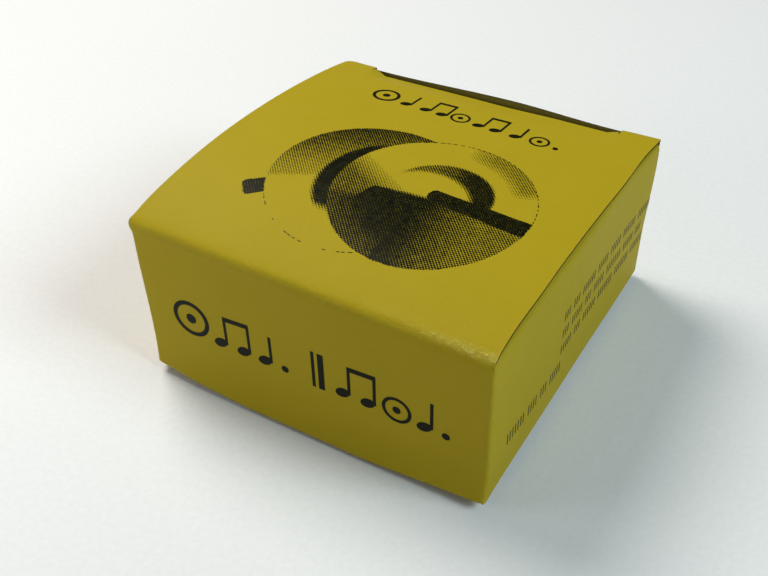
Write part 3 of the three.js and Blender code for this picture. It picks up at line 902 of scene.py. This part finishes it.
def near_tone(x, y):
    """The near cymbal: bright on its far side, dark towards the viewer, and round its bell a
    dark crescent."""
    from_middle = 18.6 * from_centre(x, y, NEAR)
    below = 0.12 * (x + 1.8) - (y + 8.4)
    depth = 0.94 - 0.40 * smooth((x - 7) / 15) - 0.12 * smooth((from_middle - 11) / 7) * (x < 7)
    softness = mix(6.0, 1.2, smooth((x + 3.2) / 1.8))
    dark_side = depth * smooth((below + 0.4) / softness)
    from_edge = -0.515 * (x + 8.7) - 0.857 * y
    left_side = smooth((from_edge + 0.4) / 1.0) * (0.12 + 0.55 * smooth(from_edge / 6))
    turned = np.degrees(np.arctan2(y - NEAR[1], x - NEAR[0]))
    far_side = smooth((turned - 28) / 12) * smooth((98 - turned) / 22)
    far_rim = 0.40 * far_side * smooth((from_middle - 13.2) / 3.5)
    tone = np.maximum(np.maximum(dark_side, left_side), far_rim)
    within_bell = 9.5 - np.hypot(x - 9.4, y + 5.0)
    past_light = np.hypot(x - 6.8, y + 8.4) - 8.4
    crescent = smooth((within_bell + 0.2) / 0.7) * smooth((past_light + 0.3) / 1.6) * (y > -7)
    return np.maximum(tone, crescent * (0.60 + 0.32 * smooth((x - 3) / 10)))


def strap_tone(x, y):
    """The near cymbal's strap, from the bell out over the rim, and the rear one's end."""
    out = x - 7.5
    half = (1.75 + 0.02 * out) * np.sqrt(1 - np.clip(1 - out / 1.3, 0, 1) ** 2)
    near = (out > 0) & (x < 26.7) & (np.abs(y + 6.1 + 0.055 * out) < half)
    past_rim = -0.76 * (x + 18.85) - 0.65 * (y + 18.6)
    aside = np.abs(0.65 * (x + 18.85) - 0.76 * (y + 18.6))
    half = 2.05 - 0.9 + 0.9 * np.sqrt(1 - np.clip((past_rim - 2.6) / 0.9, 0, 1) ** 2)
    rear = (from_centre(x, y, REAR) > 1) & (past_rim > -2) & (past_rim < 3.5) & (aside < half)
    return 0.94 * (near | rear)


def cymbal_tone(x, y):
    """How dark the picture is at a place on the lid, from 0 to 1: two overlapping cymbals,
    each with its strap, lit from the upper left."""
    rear = np.where(from_centre(x, y, REAR) < 1, rear_tone(x, y), 0.0)
    tone = np.where(from_centre(x, y, NEAR) < 1, near_tone(x, y), rear)
    return np.maximum(tone, strap_tone(x, y))


def halftone(page, pitch=0.46):
    """The picture as a screen of dots. Past three quarters the dots join, and leave pale
    spots between them."""
    rng = np.random.default_rng(7)
    angle = math.radians(42)
    reach = 62
    i, j = np.meshgrid(np.arange(-reach, reach + 1), np.arange(-reach, reach + 1))
    i, j = i.ravel() * pitch, j.ravel() * pitch
    x = i * math.cos(angle) - j * math.sin(angle) + 2.0
    y = i * math.sin(angle) + j * math.cos(angle) - 8.0
    theta = np.radians(45 * np.arange(8))
    centres = np.stack([x, y], -1)[:, None]
    towards = np.stack([np.cos(theta + angle), np.sin(theta + angle)], -1)
    # Each of a dot's eight corners takes the tone of a place on its own side.
    tone = cymbal_tone(*np.moveaxis(centres + 0.36 * pitch * towards, -1, 0))
    full = math.pi / 4  # the tone at which neighbouring dots touch
    round_radius = np.sqrt(np.minimum(tone, full) / math.pi)
    joined_radius = 0.5 + 0.2071 * np.clip((tone - full) / (1 - full), 0, 1)
    radius = np.where(tone < full, round_radius, joined_radius)
    radius = radius * (1 + 0.05 * rng.standard_normal(len(x)))[:, None]
    cell = 0.5 / np.maximum(np.abs(np.cos(theta)), np.abs(np.sin(theta)))
    radius = np.maximum(np.minimum(radius, cell) * pitch, 0.03)
    shown = tone.mean(1) > 0.05
    page.tiles((centres + radius[..., None] * towards)[shown])


def broken_rim(page, centre, start, end, rng):
    """A pictured rim drawn as a thin line that breaks up into dashes, between two angles."""
    at = start
    while at < end:
        length = rng.uniform(0.6, 3.0)
        turned = np.radians(np.linspace(at, at + length, 4))
        rim = np.stack([PICTURED[0] * np.cos(turned), PICTURED[1] * np.sin(turned)], -1)
        page.ribbon(np.array(centre) + rim, 0.075)
        at += length + rng.uniform(0.6, 2.8)


def note(page, x, y, size):
    """A drummer's note: a tilted head and its stem."""
    page.oval((x, y), 0.50 * size, 0.34 * size, math.radians(24))
    stem = x + 0.225 * size
    page.bar((stem, y), (stem, y + size), 0.05 * size)


def note_pair(page, x, y, size, gap):
    note(page, x, y, size)
    note(page, x + gap, y, size)
    left, right = x + 0.175 * size, x + gap + 0.275 * size
    page.bar((left, y + size), (right, y + 1.06 * size), 0.085 * size)


def cymbal_sign(page, x, y, radius):
    """A cymbal seen from above: its rim, and its bell as a dot."""
    page.ring((x, y), radius, 0.13 * radius)
    page.oval((x, y), 0.62 * radius, 0.62 * radius)


def make_lid_print():
    page = Print(lid_surface, (HALF_WIDTH, WALL + HALF_DEPTH))
    halftone(page)
    rng = np.random.default_rng(3)
    broken_rim(page, NEAR, -8, 128, rng)
    for start, end in ((213, 226), (240, 241), (252, 264), (278, 279), (286, 294)):
        broken_rim(page, REAR, start, end, rng)

    base = 21.1
    size = 4.6
    gap = 3.6
    cymbal_sign(page, -17.6, base + 1.3, 2.5)
    note(page, -12.4, base, size)
    note_pair(page, -8.0, base, size, gap)
    cymbal_sign(page, -0.6, base + 0.8, 1.8)
    note_pair(page, 3.6, base, size, gap)
    note(page, 11.4, base, size)
    cymbal_sign(page, 16.2, base + 0.8, 1.8)
    page.oval((19.8, base - 0.1), 1.1, 1.1)
    page.finish("lid_print", "lid")


def make_front_print():
    page = Print(wall_surface, (HALF_WIDTH, -LOW))
    base = LOW + 12.4
    size = 6.0
    gap = 5.0
    cymbal_sign(page, -24.4, base + 3.0, 3.5)
    note_pair(page, -18.2, base, size, gap)
    note(page, -8.6, base, size)
    page.oval((-4.4, base - 0.2), 1.5, 1.5)
    for x, half_width in ((1.6, 0.32), (3.2, 0.6)):
        page.bar((x, base - 1.4), (x, base + 6.8), half_width)
    note_pair(page, 7.4, base, size, gap)
    cymbal_sign(page, 18.0, base + 1.2, 2.5)
    note(page, 23.2, base, size)
    page.oval((27.2, base - 0.2), 1.5, 1.5)
    page.finish("front_wall_print", "carton")


def fine_line(page, start, end, height, rng, pitch=1.05, gap=1.1, half_width=0.16):
    """A line of small even strokes in groups, as on a tally."""
    start, end = np.array(start), np.array(end)
    length = np.linalg.norm(end - start)
    along = (end - start) / length
    upright = np.array([0.0, height])
    at = 0.0
    while at < length:
        for _ in range(rng.integers(3, 8)):
            foot = start + along * at
            page.bar(foot, foot + upright, half_width)
            at += pitch
        at += gap


def make_right_print():
    page = Print(wall_surface, (RIGHT + HALF_DEPTH, -LOW))
    rng = np.random.default_rng(11)
    for v in (18.2, 14.3, 10.4):
        fine_line(page, (-6.7, LOW + v), (31.5, LOW + v - 0.8), 2.0, rng)
    fine_line(page, (-28.8, LOW + 8.0), (-10.5, LOW + 6.4), 2.4, rng)
    page.finish("right_wall_print", "carton")


# ---- Cymbals ----


def metal_height(r):
    """Height of the metal's inner face above the rim plane."""
    bow = BOW_RISE * np.clip((RIM_RADIUS - r) / (RIM_RADIUS - BELL_RADIUS), 0, 1)
    bell = BELL_HEIGHT * np.sqrt(np.maximum(0, 1 - (np.abs(r) / BELL_RADIUS) ** BELL_FULLNESS))
    return bow + bell


def over_metal(r, height):
    """Points square to the metal, at a height above its outer face."""
    slope = (metal_height(r + 0.01) - metal_height(r)) / 0.01
    length = np.hypot(1, slope)
    rise = BRASS + height
    return np.stack([r - rise * slope / length, metal_height(r) + rise / length], -1)


def arc(centre, radius, start, end, steps):
    angle = np.radians(np.linspace(start, end, steps))
    return np.array(centre) + radius * np.stack([np.cos(angle), np.sin(angle)], -1)


def cymbal_profile():
    """Right round the metal's section: inner face, rolled rim, outer face and cord hole."""
    easing = 0.45
    hole = HOLE + easing
    bell_angles = np.linspace(0.19, math.pi / 2 - 0.05, 26)
    inner_r = np.unique(np.concatenate([
        [hole], BELL_RADIUS * np.sin(bell_angles) ** (2 / BELL_FULLNESS),
        np.linspace(BELL_RADIUS + 0.25, RIM_RADIUS - 0.8, 22),
    ]))
    inner = np.stack([inner_r, metal_height(inner_r)], -1)
    middle = BRASS / 2
    rim = arc((RIM_RADIUS - middle, middle + 0.02), middle, -75, 75, 11)
    on_bell = inner_r[inner_r < BELL_RADIUS - 0.05][::-1]
    on_bow = np.linspace(RIM_RADIUS - 1.4, BELL_RADIUS + 1.3, 22)
    outer = over_metal(np.concatenate([on_bow, on_bell]), 0.0)
    outer = outer[(outer[:, 0] < RIM_RADIUS - 0.9) & (outer[:, 0] > hole)]
    outer = outer[np.argsort(-outer[:, 0])]
    lip = arc((hole, BELL_TOP - easing), easing, 90, 180, 5)
    foot = arc((hole, metal_height(HOLE) + easing), easing, 180, 270, 5)
    return np.concatenate([inner, rim, outer, lip, foot[:-1]])


def set_in_place(points, which):
    """The lower cymbal lies bell down, half a turn about X from the upper one."""
    if which == "upper":
        return points + [0, 0, UPPER_RIM]
    return points * [1, -1, -1] + [0, 0, LOWER_RIM]


def make_cymbal(which):
    profile = cymbal_profile()
    around = 144
    index = np.arange(len(profile) * around).reshape(-1, around)
    faces = ring_faces(index).reshape(-1, 4).tolist()
    points = set_in_place(level_rings(*profile.T, around), which)
    made = make_object(f"{which}_cymbal_brass", points, faces, [BRASS_METAL], sharp=50)
    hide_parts(f"{which}_cymbal")
    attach(made, f"{which}_cymbal")


# ---- Elastic ----


def through(knots, steps):
    """A smooth closed curve through given points, with even steps, and its length."""
    a, b, c, d = (np.roll(knots, back, 0)[:, None] for back in (1, 0, -1, -2))
    t = np.linspace(0, 1, 40, endpoint=False)[:, None]
    bend = (2 * a - 5 * b + 4 * c - d) * t**2 + (3 * b - a - 3 * c + d) * t**3
    fine = (0.5 * (2 * b + (c - a) * t + bend)).reshape(-1, 2)
    fine = np.concatenate([fine, fine[:1]])
    length = np.concatenate([[0], np.cumsum(np.linalg.norm(np.diff(fine, axis=0), axis=1))])
    even = np.linspace(0, length[-1], steps, endpoint=False)
    return np.stack([np.interp(even, length, axis) for axis in fine.T], -1), length[-1]


def sweep(path, section, sideways, closed, length, width_scale=1.0):
    """A section carried along a path. sideways is the section's first axis at each point."""
    steps = len(path)
    along = tangents(path, closed)
    sideways = np.broadcast_to(sideways, path.shape).astype(float)
    sideways = sideways - along * np.sum(sideways * along, axis=1, keepdims=True)
    sideways /= np.linalg.norm(sideways, axis=1, keepdims=True)
    upward = np.cross(sideways, along)
    across, up = (np.broadcast_to(width_scale, steps)[:, None] * axis for axis in section.T)
    points = path[:, None] + across[..., None] * sideways[:, None] + up[..., None] * upward[:, None]
    around = len(section)
    index = np.arange(steps * around).reshape(steps, around)
    faces = ring_faces(index)[:steps if closed else steps - 1, :, ::-1]
    faces = np.roll(faces, 1, -1).reshape(-1, 4).tolist()
    if not closed:
        faces += [index[0][::-1].tolist(), index[-1].tolist()]
    edge = np.linalg.norm(np.diff(section, axis=0, append=section[:1]), axis=1)
    girth = np.concatenate([[0], np.cumsum(edge)[:-1]])
    weave = np.stack(np.meshgrid(girth, np.linspace(0, length, steps)), -1).reshape(-1, 2)
    return points.reshape(-1, 3), faces, weave


def band_section():
    """The elastic's cut: flat, with round edges and a rib over each cord of rubber."""
    half, thick, ribs = BAND_WIDTH / 2, BAND / 2, 9
    x = np.linspace(-half + thick * 0.8, half - thick * 0.8, 4 * ribs + 1)
    crown = thick - 0.07 + 0.07 * np.cos(2 * math.pi * ribs * (x + half) / (2 * half))
    top = np.stack([x, crown], -1)[::-1]
    left = arc((x[0], 0), thick * 0.95, 100, 260, 7)
    foot = np.stack([x, -crown], -1)
    right = arc((x[-1], 0), thick * 0.95, -80, 80, 7)
    return np.concatenate([top, left, foot, right])


def loop_path(which):
    """The loop's line in the cymbal's upright plane, as [out, up]: along its inner layer to
    the tip, back along the outer one, and round its root over the cord hole."""
    if which == "upper":
        radii = np.array([0.6, 3, 6, 9, 11.5, 13.2, 16.5, 20, 24, 27.6])
        inner = over_metal(radii, INNER_LAYER)
        outer = over_metal(radii, OUTER_LAYER)
        tip = over_metal(np.array([28.9]), (INNER_LAYER + OUTER_LAYER) / 2)
    else:
        radii = np.array([0.6, 3, 6, 9, 14, 20, 25, 29])
        fall = BELL_TOP - smooth((radii - 3) / 6) - 0.09 * np.maximum(0, radii - 9)
        inner = np.stack([radii, fall + INNER_LAYER], -1)
        outer = np.stack([radii, fall + OUTER_LAYER], -1)
        tip = np.array([[30.2, fall[-1] - 0.1 + (INNER_LAYER + OUTER_LAYER) / 2]])
    root = np.array([[-0.35, (inner[0, 1] + outer[0, 1]) / 2]])
    return np.concatenate([inner, tip, outer[::-1], root])


def make_elastic(name, which, points, faces, weave):
    made = make_object(
        name, set_in_place(points, which), faces, [ELASTIC], coordinates=("weave", weave), sharp=60
    )
    return made


def make_loop(which):
    flat, length = through(loop_path(which), 260)
    path = np.stack([0 * flat[:, 0], flat[:, 0], flat[:, 1]], -1)
    swept = sweep(path, band_section(), (1, 0, 0), True, length)
    made = make_elastic(f"{which}_loop_elastic", which, *swept)
    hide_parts(f"{which}_finger_loop")
    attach(made, "upper_loop" if which == "upper" else "lower_cymbal")


def make_knot(which):
    """The elastic's ends, gathered through the hole and tied in a knot inside the bell."""
    knot_top = BOW_RISE + BELL_HEIGHT - 0.3
    t = np.linspace(0, 2 * math.pi, 220, endpoint=False)
    lobe = 1.15 * (2 + np.cos(3 * t))
    path = np.stack([
        lobe * np.cos(2 * t), lobe * np.sin(2 * t), knot_top - 2.4 + 1.15 * np.sin(3 * t),
    ], -1)
    strand = circle(16) * (1.25, 1.0)
    length = np.linalg.norm(np.diff(path, axis=0), axis=1).sum()
    knot = sweep(path, strand, (0, 0, 1), True, length)

    # The neck: five soft pleats, drawn together at the hole.
    around = np.linspace(0, 2 * math.pi, 50, endpoint=False)
    pleats = (1.95 + 0.22 * np.cos(5 * around))[:, None] * circle(50)
    heights = np.linspace(knot_top - 2.6, BELL_TOP + 0.1, 24)
    squeeze = 1 - 0.10 * near(heights - (BELL_TOP - 0.7), 1.0)
    stem = np.stack([0 * heights, 0 * heights, heights], -1)
    neck = sweep(stem, pleats, (1, 0, 0), False, heights[-1] - heights[0], squeeze)

    points, weave = (np.concatenate([knot[k], neck[k]]) for k in (0, 2))
    faces = knot[1] + [[k + len(knot[0]) for k in face] for face in neck[1]]
    made = make_elastic(f"{which}_knot_elastic", which, points, faces, weave)
    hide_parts(f"{which}_strap_knot")
    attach(made, f"{which}_cymbal")


# ---- Stage, light and camera ----

FLOOR_GAP = 0.02  # the floor is this far below the carton


def make_floor():
    """A wide round sheet that curves up far from the object."""
    around = 64
    flat_radius = 900
    radii = np.concatenate([np.linspace(60, flat_radius, 15), np.linspace(960, 1500, 14)])
    rise = 700 * smooth((radii - flat_radius) / 900) ** 1.2
    points = np.concatenate([[[0, 0, 0]], level_rings(radii, rise, around)])
    points[:, 2] -= FLOOR_GAP
    index = 1 + np.arange(len(radii) * around).reshape(-1, around)
    fan = np.stack([0 * index[0], index[0], np.roll(index[0], -1)], -1)
    faces = fan.tolist() + ring_faces(index)[:-1].reshape(-1, 4).tolist()
    make_object("floor", points, faces, [paper_floor()])


def area_light(name, location, target, size, power, color):
    data = bpy.data.lights.new(name, "AREA")
    data.shape = "DISK"
    data.size = size
    data.energy = power
    data.color = color
    light = bpy.data.objects.new(name, data)
    light.location = location
    aim = Vector(target) - Vector(location)
    light.rotation_euler = aim.to_track_quat("-Z", "Y").to_euler()
    bpy.context.scene.collection.objects.link(light)


def make_lights():
    """A large soft light high on the left, a cooler one high on the right, and a faint one
    low before the front's left end."""
    for name, location, target, size, power, color in (
        ("key", (-0.36, 0.13, 0.50), (0, 0, 0.03), 0.34, 3.4, (1.0, 0.94, 0.84)),
        ("side", (0.63, 0.03, 0.55), (0, 0, 0.02), 0.42, 4.2, (0.82, 0.98, 1.0)),
        ("front", (-0.17, -0.15, 0.09), (-0.03, 0, 0.02), 0.12, 0.13, (1.0, 0.98, 0.90)),
    ):
        area_light(name, location, target, size, power, color)
    world = bpy.data.worlds.new("studio")
    world.use_nodes = True
    background = world.node_tree.nodes["Background"].inputs
    background["Color"].default_value = rgb(0.96, 0.98, 1.0)
    background["Strength"].default_value = 0.06
    bpy.context.scene.world = world
    bpy.context.scene.view_settings.view_transform = "Standard"


def make_camera():
    azimuth, elevation, roll = (math.radians(a) for a in (31.268, 39.676, -1.217))
    distance = 0.20336
    target = Vector((-2.362, -5.325, 10.857)) * MM
    back = Vector((
        math.sin(azimuth) * math.cos(elevation),
        -math.cos(azimuth) * math.cos(elevation),
        math.sin(elevation),
    ))
    right = Vector((0, 0, 1)).cross(back).normalized()
    up = back.cross(right)
    level = math.cos(roll) * right + math.sin(roll) * up
    upright = math.cos(roll) * up - math.sin(roll) * right
    data = bpy.data.cameras.new("camera")
    data.sensor_width = 36
    data.lens = 49.22
    data.clip_start = 0.01
    camera = bpy.data.objects.new("camera", data)
    turned = Matrix((level, upright, back)).transposed().to_4x4()
    camera.matrix_world = Matrix.Translation(target + back * distance) @ turned
    bpy.context.scene.collection.objects.link(camera)
    bpy.context.scene.camera = camera


make_camera()
make_lights()
make_floor()
make_walls()
make_lid()
make_lid_tuck()
make_dust_flaps()
make_bottom()
make_bottom_tuck()
make_lid_print()
make_front_print()
make_right_print()
for cymbal in ("upper", "lower"):
    make_cymbal(cymbal)
    make_loop(cymbal)
    make_knot(cymbal)
